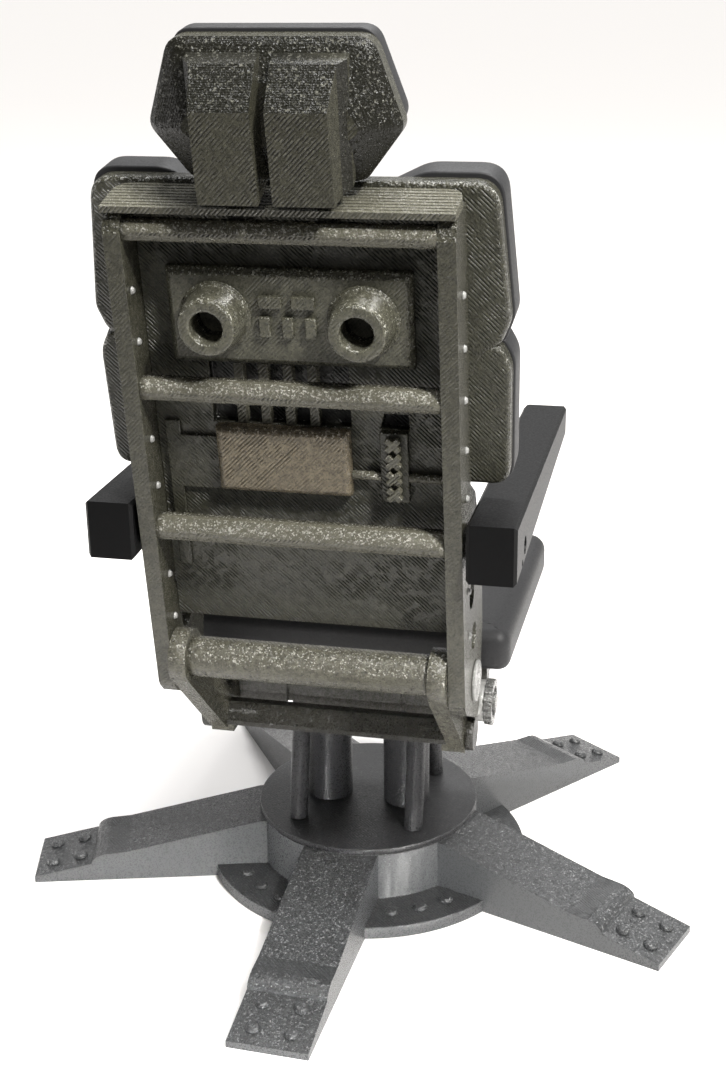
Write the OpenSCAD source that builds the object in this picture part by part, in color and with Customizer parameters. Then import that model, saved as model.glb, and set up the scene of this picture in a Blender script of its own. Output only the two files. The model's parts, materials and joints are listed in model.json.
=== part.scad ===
// Scale model of a cockpit swivel seat: five-legged base, twin-column pedestal,
// reclining ladder-frame back with a rear equipment panel, armrests and headrest.
// The seat faces -Y, its back faces +Y, +Z is up, and the origin is on the swivel
// axis at the underside of the base.

/* [Base] */
// Diameter of the round floor flange
flange_d = 56; // [50:1:60]
// Thickness of the floor flange
flange_h = 2.2; // [1.6:0.2:3]
// Diameter of the drum and of the turntable on it
drum_d = 38.7; // [36:0.1:42]
// Top of the fixed drum
drum_top = 10.7; // [10:0.1:12]
// Number of legs
leg_count = 5; // [5:1:5]
// Width of a leg
leg_w = 13; // [10:0.5:14]
// Distance from the swivel axis to the tip of a leg
leg_reach = 59.4; // [56:0.1:64]
// Angle of the rear leg off the fore-and-aft line in degrees
leg_turn = -2.3; // [-10:0.1:10]

/* [Swivel and pedestal] */
// Diameter of the swivel spigot
spigot_d = 9; // [6:0.5:10]
// Radial running clearance of every turning joint
run_clear = 0.05; // [0.02:0.01:0.1]
// Thickness of the turntable disc
turntable_h = 1.05; // [0.8:0.05:2]
// Diameter of each pedestal column
column_d = 8.1; // [6:0.1:8.4]
// Distance between the column axes
column_pitch = 14; // [13:0.5:15]
// Diameter of the inclined struts
strut_d = 3.2; // [2:0.1:3.6]

/* [Seat] */
// Underside of the seat pan above the ground
pan_z = 35; // [34:0.5:36]
// Half the width of the seat cushion
cushion_half_w = 28; // [25:0.1:29]
// Top of the seat cushion
cushion_top = 55.2; // [54:0.1:57]

/* [Backrest] */
// Backward tilt of the backrest in degrees
back_tilt = 8.64; // [4:0.01:12]
// Half the distance between the inner faces of the side rails
rail_in = 21.2; // [20:0.1:22]
// Thickness of a side rail
rail_t = 2.5; // [2:0.1:3]
// Length of a side rail
rail_len = 75.1; // [72:0.1:78]
// Half the width of the back cushions at the waist
back_half_w = 29.5; // [28:0.1:30]
// Diameter of the pivot tube across the foot of the backrest
tube_d = 6.2; // [5:0.1:7]
// Diameter of the recline pins
pin_d = 2.5; // [1.6:0.1:3]

/* [Equipment panel] */
// Half the width of the upper equipment box
box_half_w = 17.1; // [15:0.1:19]
// Distance of each socket from the centre line
socket_x = 10.3; // [9:0.1:12]
// Outside diameter of a socket barrel at its mouth
socket_od = 7.9; // [7:0.1:9]
// Bore diameter of a socket barrel
socket_id = 4.6; // [3:0.1:6]

/* [Armrests and headrest] */
// Inner face of an armrest from the centre line
arm_in = 24.3; // [24.1:0.1:25]
// Width of an armrest
arm_w = 7.2; // [6:0.1:8]
// Diameter of the armrest pivot pin
arm_pin_d = 2.6; // [2:0.1:3]
// Diameter of the headrest rods
rod_d = 1.8; // [1.4:0.1:2]

/* [Hidden] */
$fn = 48;
turntable_top = drum_top + 0.05 + turntable_h;
bush_d = 13;
foot_r = 49.3;                     // where a leg's foot begins
foot_h = 3.3;
foot_tip_h = 1.15;
rail_foot = [38.6, 48.5];          // Y and Z of the rails' lower rear corner
rail_out = rail_in + rail_t;
pivot_n = -2.1;                    // recline axis in the backrest's own frame
pivot_a = 5.2;
shell_n = -8;                      // rear face of the back shells
shell_top = 77.6;
cushion_rise = 78.1;              // top of the upper back cushion
panel_n = -5.6;                    // rear face of the equipment panel
arm_pivot = [35, 74.6];            // Y and Z of the armrest axis
knob_axis = [20.0, 42.0];          // Y and Z of the adjuster knob axis
lug_axis = [20.8, 36.6];           // Y and Z of the lower crossbar's bolts
link_x = 22.6;                     // inner face of a link plate
link_t = 1.4;
tube_axis = [rail_foot[0] + pivot_a * sin(back_tilt) + pivot_n * cos(back_tilt),
             rail_foot[1] + pivot_a * cos(back_tilt) - pivot_n * sin(back_tilt)];
board_z = 45.5;
board_h = 2.1;
crossbar_a = [72.3, 49.4, 27.4];   // heights of the three crossbars
crossbar_h = [3, 3.3, 3.8];
rivet_a = [for (i = [0:7]) 11.2 + i * 7.5];
guide_d = rod_d + 0.8;             // outside diameter of a headrest guide sleeve

plastic = [0.25, 0.25, 0.24];
cool_plastic = [0.22, 0.23, 0.24];
satin_black = [0.09, 0.09, 0.1];
light_plastic = [0.5, 0.5, 0.49];

// ---------------------------------------------------------------- helpers
module both_sides() { children(); mirror([1, 0, 0]) children(); }

module on_side(s) { if (s > 0) children(); else mirror([1, 0, 0]) children(); }

// A Y-Z outline drawn in the X-Y plane and extruded from x0 to x1
module along_x(x0, x1) { translate([x0, 0, 0]) rotate([90, 0, 90]) linear_extrude(x1 - x0) children(); }

// The backrest's frame: X, then n rearward off the rails' rear face, then a up the rails
module in_back() { translate([0, rail_foot[0], rail_foot[1]]) rotate([-back_tilt, 0, 0]) children(); }

// An X-a outline extruded from n0 to n1 in the backrest's frame
module along_n(n0, n1) { translate([0, n1, 0]) rotate([90, 0, 0]) linear_extrude(n1 - n0) children(); }

module pin_x(x0, x1, d) { translate([x0, 0, 0]) rotate([0, 90, 0]) cylinder(h = x1 - x0, d = d); }

module at_yz(p) { translate([0, p[0], p[1]]) children(); }

// A rectangle given by its lowest and highest corners
module rect(x0, y0, x1, y1) { translate([x0, y0]) square([x1 - x0, y1 - y0]); }

// A flat bar with round ends of two radii, its straight sides tangent to both
module round_bar(p, rp, q, rq) {
    d = q - p;
    turn = atan2(d[1], d[0]);
    lean = acos((rp - rq) / norm(d));
    translate(p) circle(r = rp);
    translate(q) circle(r = rq);
    polygon([for (e = [[p, rp, lean], [p, rp, -lean], [q, rq, -lean], [q, rq, lean]])
             e[0] + e[1] * [cos(turn + e[2]), sin(turn + e[2])]]);
}

// The point at a given reach from corner b towards p; b is [x, y, reach]
function toward(b, p) = let (d = [p[0] - b[0], p[1] - b[1]]) [b[0], b[1]] + d / norm(d) * b[2];

// Outline points with curved corners: each given point is [x, y, reach of the curve along its edges]
function curved(pts) = [for (i = [0:len(pts) - 1])
    let (b = pts[i], p = toward(b, pts[(i + len(pts) - 1) % len(pts)]),
         q = toward(b, pts[(i + 1) % len(pts)]))
    each b[2] == 0 ? [p] : [for (t = [0:0.2:1]) pow(1 - t, 2) * p + 2 * t * (1 - t) * [b[0], b[1]] + t * t * q]];

// A half outline from the centre line and its mirror image
module mirrored_outline(half) {
    polygon(curved(half));
    mirror([1, 0]) polygon(curved(half));
}

// A flat box on the panel with bevelled rear edges
module bevelled_box(x0, a0, x1, a1, n0, n1, bevel) {
    hull() {
        along_n(n0, n1 - bevel) rect(x0, a0, x1, a1);
        along_n(n1 - bevel, n1) rect(x0 + bevel, a0 + bevel, x1 - bevel, a1 - bevel);
    }
}

// ---------------------------------------------------------------- base
module base_hub() {
    cavity_d = 12;
    color(cool_plastic) difference() {
        union() {
            cylinder(h = flange_h, d = flange_d, $fn = 96);
            cylinder(h = drum_top, d = drum_d, $fn = 96);
        }
        translate([0, 0, 4.5]) cylinder(h = drum_top, d = bush_d);
        translate([0, 0, 1.8]) cylinder(h = 4, d = cavity_d);
    }
}

// Side outline of a leg: r along the leg, z up
module leg_outline() {
    knee_r = 45.8;
    knee_h = 5.2;
    polygon(concat(
        [[10, 0], [leg_reach, 0], [leg_reach, foot_tip_h]],
        [for (a = [90:-15:0]) [knee_r + (foot_r - knee_r) * sin(a), foot_h + (knee_h - foot_h) * cos(a)]],
        [[knee_r - 2.6, knee_h + 0.2], [drum_d / 2, 10.6], [10, 10.6]]));
}

module leg(i) {
    color(cool_plastic) rotate([0, 0, 90 + leg_turn + i * 360 / leg_count]) difference() {
        translate([0, leg_w / 2, 0]) rotate([90, 0, 0]) linear_extrude(leg_w) leg_outline();
        cylinder(h = 30, d = drum_d, center = true, $fn = 96);
        cylinder(h = flange_h * 2, d = flange_d, center = true, $fn = 96);
    }
}

module bolt_head(d, h) {
    cylinder(h = h * 0.55, d = d, $fn = 24);
    translate([0, 0, h * 0.55]) cylinder(h = h * 0.45, d1 = d, d2 = d * 0.72, $fn = 24);
}

module base_bolts() {
    foot_slope = atan2(foot_h - foot_tip_h, leg_reach - foot_r);
    color(cool_plastic) {
        for (i = [0:leg_count - 1]) rotate([0, 0, 90 + leg_turn + i * 360 / leg_count]) {
            for (r = [51.5, 56.4], y = [-3.1, 3.1])
                translate([r, y, foot_tip_h + (leg_reach - r) * tan(foot_slope)]) rotate([0, foot_slope, 0])
                    bolt_head(2.3, 0.8);
            for (a = [24, 36, 48]) rotate([0, 0, a])
                translate([23.9, 0, flange_h]) bolt_head(2.3, 0.7);
        }
    }
}

module swivel_bush() {
    color(light_plastic) translate([0, 0, 4.5]) difference() {
        cylinder(h = 6.1, d = bush_d);
        translate([0, 0, -1]) cylinder(h = 9, d = spigot_d + 2 * run_clear);
    }
}

// ---------------------------------------------------------------- pedestal
module turntable() {
    color(cool_plastic) difference() {
        union() {
            translate([0, 0, turntable_top - turntable_h]) cylinder(h = turntable_h, d = drum_d, $fn = 96);
            translate([0, 0, 2.2]) cylinder(h = drum_top - 2.2 + 0.1, d = spigot_d);
        }
        translate([0, 0, 3]) difference() {
            cylinder(h = 0.8, d = spigot_d + 2);
            cylinder(h = 0.8, d = spigot_d - 1.2);
        }
    }
}

module swivel_circlip() {
    color(light_plastic) translate([0, 0, 3]) difference() {
        cylinder(h = 0.8, d = spigot_d + 1.8);
        translate([0, 0, -1]) cylinder(h = 3, d = spigot_d - 1.2);
        translate([0, -1.5, -1]) cube([20, 3, 3]);
    }
}

module column(s) {
    color(cool_plastic) on_side(s) translate([column_pitch / 2, 0, turntable_top])
        cylinder(h = pan_z - turntable_top, d = column_d);
}

module struts() {
    foot = [10.2, 10.1];
    lean = atan2(foot[1] - 5.2, pan_z - turntable_top);
    color(cool_plastic) for (mx = [0, 1], my = [0, 1]) mirror([mx, 0, 0]) mirror([0, my, 0])
        intersection() {
            translate([foot[0], foot[1], turntable_top]) rotate([lean, 0, 0])
                translate([0, 0, -5]) cylinder(h = 40, d = strut_d);
            translate([0, 0, turntable_top]) cube([20, 20, pan_z - turntable_top]);
        }
}

// ---------------------------------------------------------------- seat
module seat_pan() {
    half = 18.4;
    color(plastic) difference() {
        union() {
            translate([-half, -20, pan_z + 1.4]) cube([2 * half, 35.5, board_z - pan_z - 1.4]);
            both_sides() translate([2.2, -7.2, pan_z]) cube([10, 14.4, 3]);
        }
        for (x = [-9.6, 9.6]) translate([x - 0.4, 14.9, 30]) cube([0.8, 2, 20]);
        for (y = [-14, 10]) translate([-6, y - 2, 30]) cube([12, 4, pan_z + 3 - 30]);
        both_sides() translate([half - 3, -15, 30]) cube([5, 12, pan_z + 4 - 30]);
    }
}

module seat_board() {
    color(plastic) hull() {
        translate([-24, -22, board_z]) cube([48, 41.5, board_h]);
        translate([-21, -23.5, board_z]) cube([42, 43, board_h]);
    }
}

// A plain closed solid of the seat cushion: chamfered block with rounded ends
module seat_cushion() {
    y0 = -26;
    y1 = 21;
    z0 = board_z + board_h;
    w = cushion_half_w;
    color(satin_black) hull() {
        translate([-w, y0 + 2, z0 + 1.6]) cube([2 * w, y1 - y0 - 4, cushion_top - z0 - 3.4]);
        translate([-w + 2, y0, z0 + 1.6]) cube([2 * w - 4, y1 - y0, cushion_top - z0 - 3.4]);
        translate([-w + 2, y0 + 2, z0]) cube([2 * w - 4, y1 - y0 - 4, cushion_top - z0]);
    }
}

module link_plates() {
    color(light_plastic) both_sides() difference() {
        along_x(link_x, link_x + link_t) {
            translate(knob_axis) circle(r = 3.3);
            rect(knob_axis[0] - 3.3, knob_axis[1], knob_axis[0] + 0.6, board_z);
        }
        at_yz(knob_axis) pin_x(0, 40, 1.6);
    }
}

module adjuster_knob(s) {
    x0 = link_x + link_t + 0.05;
    color(light_plastic) on_side(s) at_yz(knob_axis) rotate([0, 90, 0]) translate([0, 0, x0]) difference() {
        linear_extrude(1.3) {
            circle(d = 6.8);
            for (i = [0:17]) rotate(i * 20) rect(3.2, -0.3, 3.7, 0.3);
        }
        translate([0, 0, -1]) cylinder(h = 4, d = 1.6 + 2 * run_clear);
        translate([0, 0, 0.9]) cylinder(h = 2, d = 5);
    }
}

module knob_screws() {
    color(light_plastic) both_sides() at_yz(knob_axis) {
        pin_x(link_x, link_x + link_t + 1.02, 1.6);
        pin_x(link_x + link_t + 1.02, link_x + link_t + 1.7, 3.2);
    }
}

// ---------------------------------------------------------------- seat brackets and pivot tube
module bracket(s) {
    x0 = 18.4;
    x1 = rail_in - 0.1;
    color(plastic) on_side(s) difference() {
        union() {
            along_x(x0, x1) {
                round_bar(tube_axis, 4.2, lug_axis, 2.9);
                round_bar(lug_axis, 2.9, [11.6, 41.6], 2.8);
            }
            translate([x0 - 1.1, 19.4, 33.8]) cube([x1 - x0 + 1.1, 3.2, 1.2]);
        }
        at_yz(tube_axis) pin_x(0, 40, pin_d);
        at_yz(lug_axis) pin_x(0, 40, 2);
    }
}

module lower_crossbar() {
    color(plastic) difference() {
        along_x(-18.4, 18.4) polygon([[19.0, 35], [22.7, 35], [22.7, 35.8], [20.6, 38.3], [19.0, 38.3]]);
        both_sides() at_yz(lug_axis) pin_x(13.4, 20, 2);
    }
}

module crossbar_bolts() {
    color(light_plastic) both_sides() at_yz(lug_axis) {
        pin_x(13.4, rail_in - 0.1, 2);
        pin_x(rail_in - 0.1, rail_in + 1.3, 5.6);
    }
}

module pivot_tube() {
    color(plastic) at_yz(tube_axis) difference() {
        pin_x(-18.4, 18.4, tube_d);
        both_sides() pin_x(12.4, 20, pin_d);
    }
}

// Recline pins: fixed in the tube and the brackets, turning in the rails
module pivot_pins() {
    color(light_plastic) both_sides() at_yz(tube_axis) pin_x(12.4, rail_in + 1.7, pin_d);
}

// ---------------------------------------------------------------- backrest frame
// Outline of a side rail with its hip plate: n, then a
module rail_outline() {
    polygon([[0, 1.4], [-0.4, 0.4], [-1.5, -1.08], [-10.6, -7.6], [-12.6, -6.2], [-16.6, 6], [-16.8, 18], [-12, 31], [shell_n, 34.2],
             [shell_n, rail_len], [-1.9, rail_len], [-0.6, rail_len - 1.2], [0, rail_len - 2.8]]);
}

hip_boss = [-9, 0.3];
hip_holes = [[-8.6, 8.6], [-7.4, 16.4]];

module rail(s) {
    arm_n = (arm_pivot[0] - rail_foot[0]) * cos(back_tilt) - (arm_pivot[1] - rail_foot[1]) * sin(back_tilt);
    arm_a = (arm_pivot[0] - rail_foot[0]) * sin(back_tilt) + (arm_pivot[1] - rail_foot[1]) * cos(back_tilt);
    color(plastic) on_side(s) in_back() difference() {
        along_x(rail_in, rail_out) rail_outline();
        for (h = hip_holes) at_yz(h) pin_x(10, 40, 4.2);
        at_yz(hip_boss) pin_x(10, 40, 3);
        translate([0, arm_n, arm_a]) pin_x(10, 40, arm_pin_d);
        at_yz([pivot_n, pivot_a]) pin_x(10, rail_in + 1.75, pin_d + 2 * run_clear);
    }
}

// Round caps over the hip plates' bosses, with a raised rim
module hip_caps() {
    color(light_plastic) both_sides() in_back() at_yz(hip_boss) {
        pin_x(rail_in, rail_out, 3);
        difference() {
            pin_x(rail_out, rail_out + 0.5, 6.4);
            pin_x(rail_out + 0.25, rail_out + 1, 4.6);
        }
        pin_x(rail_out + 0.25, rail_out + 0.5, 2.6);
    }
}

// A D-section bar between the rails, round to the rear
module crossbar(i) {
    h = crossbar_h[i];
    color(plastic) in_back() along_x(-rail_in, rail_in) translate([0, crossbar_a[i]]) {
        intersection() {
            translate([-h / 2 - 0.1, 0]) circle(d = h);
            rect(-h / 2 - 0.1, -h, 0, h);
        }
        rect(-h / 2 - 1.3, -h / 2, -h / 2 - 0.1, h / 2);
    }
}

// Equipment panel between the rails, with the vent recess
module back_panel() {
    color(plastic) in_back() difference() {
        along_n(shell_n, panel_n) rect(-rail_in, 10.5, rail_in, 74.6);
        along_n(panel_n - 1.4, 0) rect(-7.4, 43.2, 12.6, 52.4);
        along_n(panel_n - 1.4, 0) polygon([[-15.6, 43.2], [-11.6, 43.2], [-12.2, 45.5], [-15.6, 45.5]]);
    }
}

// Stepped cap across the top of the rails, its front corners rounded
module top_ledge() {
    half_w = 23.7;
    step_count = 9;
    step_n = -shell_n / step_count;
    step_h = 0.1;
    lip = 0.9;
    color(plastic) in_back() difference() {
        intersection() {
            along_x(-half_w, half_w) polygon(concat([[shell_n, rail_len], [0, rail_len], [0, rail_len + lip]],
                [for (i = [1:step_count - 1], k = [0, 1]) [-i * step_n, rail_len + lip + (i - 1 + k) * step_h]],
                [[shell_n, rail_len + lip + (step_count - 1) * step_h]]));
            linear_extrude(100) mirrored_outline([[0, 0, 0], [half_w, 0, 0], [half_w, shell_n, 3],
                                                  [0, shell_n, 0]]);
        }
        for (s = [-1, 1]) translate([s * 6, -4.3, 0]) cylinder(h = 90, d = guide_d);
    }
}

// ---------------------------------------------------------------- back shells and cushions
// Outline of the upper section: narrower towards its shoulders, with a dip in the middle of its top edge
module upper_outline(inset, top, dip) {
    w = back_half_w - inset;
    t = top - inset;
    mirrored_outline([[0, t - dip, 0], [11.2, t - dip, 1.6], [17.8, t, 1.6], [w - 1.6, t, 3.4], [w, 58.8, 0.8],
                      [w - 1.4, 55.3 + inset, 0.8], [0, 55.3 + inset, 0]]);
}

module lower_outline(inset) {
    w = back_half_w - inset;
    mirrored_outline([[0, 55.2 - inset, 0], [w - 1.5, 55.2 - inset, 0.8], [w, 52.4 - inset, 1.4],
                      [w - 0.3, 34.3 + inset, 2.6], [0, 34.3 + inset, 0]]);
}

module upper_shell() {
    color(plastic) in_back() along_n(shell_n - 2.4, shell_n) upper_outline(0, shell_top, 0.2);
}

module lower_shell() {
    color(plastic) in_back() along_n(shell_n - 2.4, shell_n) lower_outline(0);
}

module upper_cushion() {
    color(satin_black) in_back() along_n(shell_n - 9, shell_n - 2.4) upper_outline(0.1, cushion_rise, 3.2);
}

module lower_cushion() {
    color(satin_black) in_back() along_n(shell_n - 9, shell_n - 2.4) lower_outline(0.1);
}

module lumbar_pad() {
    color(satin_black) in_back() hull() {
        along_n(shell_n - 4.4, shell_n) rect(-rail_in + 0.6, 13.6, rail_in - 0.6, 34.2);
        along_n(shell_n - 5.4, shell_n) rect(-rail_in + 1.8, 14.6, rail_in - 1.8, 33.2);
    }
}

// ---------------------------------------------------------------- equipment on the panel
module equipment_box() {
    color(plastic) in_back() bevelled_box(-box_half_w, 52.8, box_half_w, 66.6, panel_n, -3.5, 0.8);
}

// A tapered socket barrel on a low collar, open to the rear
module socket(s) {
    r = socket_od / 2;
    color(plastic) in_back() translate([s * socket_x - 0.2, -3.5, 59.95]) rotate([-90, 0, 0]) rotate_extrude()
        polygon([[socket_id / 2, 0], [r + 1.05, 0], [r + 1.05, 0.35], [r + 0.8, 0.4], [r + 0.65, 1.2],
                 [r + 0.15, 4.4], [r, 4.8], [r - 0.3, 5], [socket_id / 2, 5]]);
}

// Plain raised rectangles between the sockets
module box_blocks() {
    color(plastic) in_back() {
        for (x = [-2.3, 2.3]) along_n(-3.5, -2.7) rect(x - 1.7, 61.4, x + 1.7, 63.2);
        for (x = [-3.2, 0, 3.2]) along_n(-3.5, -2.7) rect(x - 0.8, 57.2, x + 0.8, 60.2);
    }
}

module vent_bars() {
    color(plastic) in_back() for (i = [0:3]) translate([-2.3 + i * 3.52, 0])
        along_n(panel_n - 1.4, panel_n + 0.3) rect(-0.7, 43.2, 0.7, 52.4);
}

module screen_box() {
    color([0.36, 0.33, 0.29]) in_back() bevelled_box(-7.4, 33, 12.1, 43.2, panel_n, -3.5, 0.7);
}

module dial_strip() {
    color(plastic) in_back() along_n(panel_n, -4.4) rect(-15.6, 32.4, -11.6, 43.2);
}

module strip_dials() {
    color(plastic) in_back() for (i = [0:3]) translate([-13.6, 0, 34 + i * 2.55])
        along_n(-4.4, -3.3) for (r = [45, 135]) rotate(r) square([2.5, 0.9], center = true);
}

module feed_pipe() {
    pipe_d = 1.3;
    color(plastic) in_back() translate([0, panel_n + pipe_d / 2, 36.2]) {
        pin_x(-11.6, -7.4, pipe_d);
        pin_x(-rail_in, -15.6, pipe_d);
    }
}

module side_plate() {
    color(plastic) in_back() along_n(panel_n, panel_n + 0.6) {
        rect(12.1, 32.6, 19.9, 41);
        rect(17.6, 41, 19.9, 43.2);
        rect(18, 19.5, 19.9, 32.6);
    }
}

// Domed rivets on both rails; on the inner faces none where a crossbar ends
module rivets() {
    color(plastic) both_sides() in_back() {
        for (a = rivet_a)
            translate([rail_out, -4.4, a]) rotate([0, 90, 0]) rivet();
        for (i = [0, 1, 3, 4, 6, 7])
            translate([rail_in, -3.9 + rivet_a[i] * 0.03, rivet_a[i]]) rotate([0, -90, 0]) rivet();
    }
}

module rivet() { cylinder(h = 0.4, d1 = 1.2, d2 = 0.7, $fn = 16); }

// ---------------------------------------------------------------- armrests
module arm_outline(inset) {
    polygon([[43.8 - inset, 80.2 - inset], [43.8 - inset, 71.5 + inset], [-18.2 + inset, 75.2 + inset],
             [-18.2 + inset, 80.2 - inset]]);
}

module armrest(s) {
    x1 = arm_in + arm_w;
    bevel = 0.45;
    color(satin_black) on_side(s) difference() {
        hull() {
            along_x(arm_in, x1) arm_outline(bevel);
            along_x(arm_in + bevel, x1 - bevel) arm_outline(0);
        }
        at_yz(arm_pivot) pin_x(20, 40, arm_pin_d + 2 * run_clear);
        at_yz([arm_pivot[0] + 2.6, arm_pivot[1] - 1.9]) pin_x(x1 - 3, 40, 1.2);
        translate([arm_in, -18.2, 70]) rotate([0, 0, 45]) translate([-5, -5, 0]) cube([5.6, 10, 20]);
    }
}

module armrest_pins() {
    color(light_plastic) both_sides() at_yz(arm_pivot) pin_x(rail_in, arm_in + arm_w - 2.6, arm_pin_d);
}

module armrest_washers() {
    color(light_plastic) both_sides() at_yz(arm_pivot) difference() {
        pin_x(rail_out, arm_in - 0.05, 5.2);
        pin_x(rail_out - 1, arm_in + 1, arm_pin_d);
    }
}

// ---------------------------------------------------------------- headrest
// Six-sided outline, wide in the middle
module headrest_outline(inset) {
    mirrored_outline([[0, 78.9 + inset, 0], [11.6 - inset * 0.6, 78.9 + inset, 1], [16.9 - inset, 85.8, 1.2],
                      [13.2 - inset, 96.9 - inset, 2], [0, 96.9 - inset, 0]]);
}

// The shell's solid shape: a rim round a low pyramid
module headrest_dome() {
    hull() {
        along_n(-6.4, -3.9) headrest_outline(0);
        along_n(-3.9, -3.2) headrest_outline(0.8);
        along_n(-3.2, -0.8) headrest_outline(5);
    }
}

module headrest_shell() {
    color(plastic) in_back() difference() {
        headrest_dome();
        for (s = [-1, 1]) translate([s * 6, -4.3, 70]) cylinder(h = 12, d = rod_d);
    }
}

module headrest_pad() {
    color(satin_black) in_back() hull() {
        along_n(-9.6, -6.4) translate([0, 0.8]) headrest_outline(0.3);
        along_n(-11.4, -6.4) translate([0, 0.8]) headrest_outline(2.2);
    }
}

// Two ridged blocks on the back of the headrest, overhanging the ledge
module headrest_blocks() {
    color(plastic) both_sides() in_back() difference() {
        intersection() {
            along_x(0.95, 10.6) polygon([[3, 77.4], [4, 89.4], [0, 94.4], [-2.8, 95.2], [-2.8, 79.6], [0.2, 78.2]]);
            linear_extrude(120) polygon([[0.95, -3], [10.5, -3], [10.5, -1.2], [9.4, 0.2], [8.8, 4.2], [0.95, 4.2]]);
        }
        headrest_dome();
    }
}

module headrest_rods() {
    color(light_plastic) in_back() for (s = [-1, 1])
        translate([s * 6, -4.3, 71.9]) cylinder(h = 82 - 71.9, d = rod_d);
}

module headrest_guides() {
    color(light_plastic) in_back() for (s = [-1, 1]) translate([s * 6, -4.3, 71.7]) difference() {
        cylinder(h = 6, d = guide_d);
        translate([0, 0, -1]) cylinder(h = 9, d = rod_d + 2 * run_clear);
    }
}

// ---------------------------------------------------------------- assembly
base_hub();
for (i = [1:leg_count]) leg(i - 1);
base_bolts();
swivel_bush();
turntable();
swivel_circlip();
column(1);  // column_left
column(-1);  // column_right
struts();
seat_pan();
seat_board();
seat_cushion();
link_plates();
adjuster_knob(1);  // adjuster_knob_left
adjuster_knob(-1);  // adjuster_knob_right
knob_screws();
bracket(1);  // bracket_left
bracket(-1);  // bracket_right
lower_crossbar();
crossbar_bolts();
pivot_tube();
pivot_pins();
rail(1);  // rail_left
rail(-1);  // rail_right
hip_caps();
crossbar(0);  // crossbar_top
crossbar(1);  // crossbar_middle
crossbar(2);  // crossbar_bottom
back_panel();
top_ledge();
upper_shell();
lower_shell();
upper_cushion();
lower_cushion();
lumbar_pad();
equipment_box();
socket(1);  // socket_left
socket(-1);  // socket_right
box_blocks();
vent_bars();
screen_box();
dial_strip();
strip_dials();
feed_pipe();
side_plate();
rivets();
armrest(1);  // armrest_left
armrest(-1);  // armrest_right
armrest_pins();
armrest_washers();
headrest_shell();
headrest_pad();
headrest_blocks();
headrest_rods();
headrest_guides();
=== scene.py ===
"""Looks for the printed cockpit swivel seat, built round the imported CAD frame.

Every piece is dark printed plastic. The CAD nodes whose shape is right keep their meshes and get softened
edges and a layered-print material; the cushions and a few shaped parts are modelled here in their place.
Lengths below are in millimetres unless a name says otherwise, and MM turns them into metres.
"""
import json
import math

import bmesh
import bpy
import numpy as np
from mathutils import Matrix, Vector


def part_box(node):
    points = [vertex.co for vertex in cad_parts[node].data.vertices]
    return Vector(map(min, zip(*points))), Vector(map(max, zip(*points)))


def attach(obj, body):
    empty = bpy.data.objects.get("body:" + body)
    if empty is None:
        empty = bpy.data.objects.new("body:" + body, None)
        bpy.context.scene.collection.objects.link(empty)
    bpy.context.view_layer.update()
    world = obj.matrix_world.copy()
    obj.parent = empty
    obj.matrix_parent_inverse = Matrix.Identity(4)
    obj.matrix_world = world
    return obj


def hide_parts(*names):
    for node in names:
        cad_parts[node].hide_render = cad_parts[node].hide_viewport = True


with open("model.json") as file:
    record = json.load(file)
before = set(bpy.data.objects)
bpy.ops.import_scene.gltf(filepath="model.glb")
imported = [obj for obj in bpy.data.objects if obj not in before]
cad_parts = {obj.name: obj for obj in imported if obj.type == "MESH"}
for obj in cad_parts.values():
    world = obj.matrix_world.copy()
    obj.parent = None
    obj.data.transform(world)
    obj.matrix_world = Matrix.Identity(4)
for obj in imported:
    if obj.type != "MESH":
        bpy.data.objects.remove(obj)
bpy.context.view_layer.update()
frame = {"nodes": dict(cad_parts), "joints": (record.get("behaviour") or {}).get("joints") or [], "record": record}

MM = 0.001

# ------------------------------------------------------------------ the backrest's own frame
JOINTS = {j["name"]: j for j in frame["joints"]}
BACK_UP = Vector(JOINTS["headrest_slide"]["axis"]).normalized()
BACK_REAR = Vector((0, BACK_UP.z, -BACK_UP.y))
PIVOT_N, PIVOT_A = -2.1, 5.2                       # the recline axis in the backrest's frame
BACK_FOOT = Vector(JOINTS["recline"]["pos_m"]) - (PIVOT_N * BACK_REAR + PIVOT_A * BACK_UP) * MM


def back(x, n, a):
    """A point of the backrest: x sideways, n rearward off the rails' rear face, a up the rails."""
    return BACK_FOOT + (x * Vector((1, 0, 0)) + n * BACK_REAR + a * BACK_UP) * MM


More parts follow.
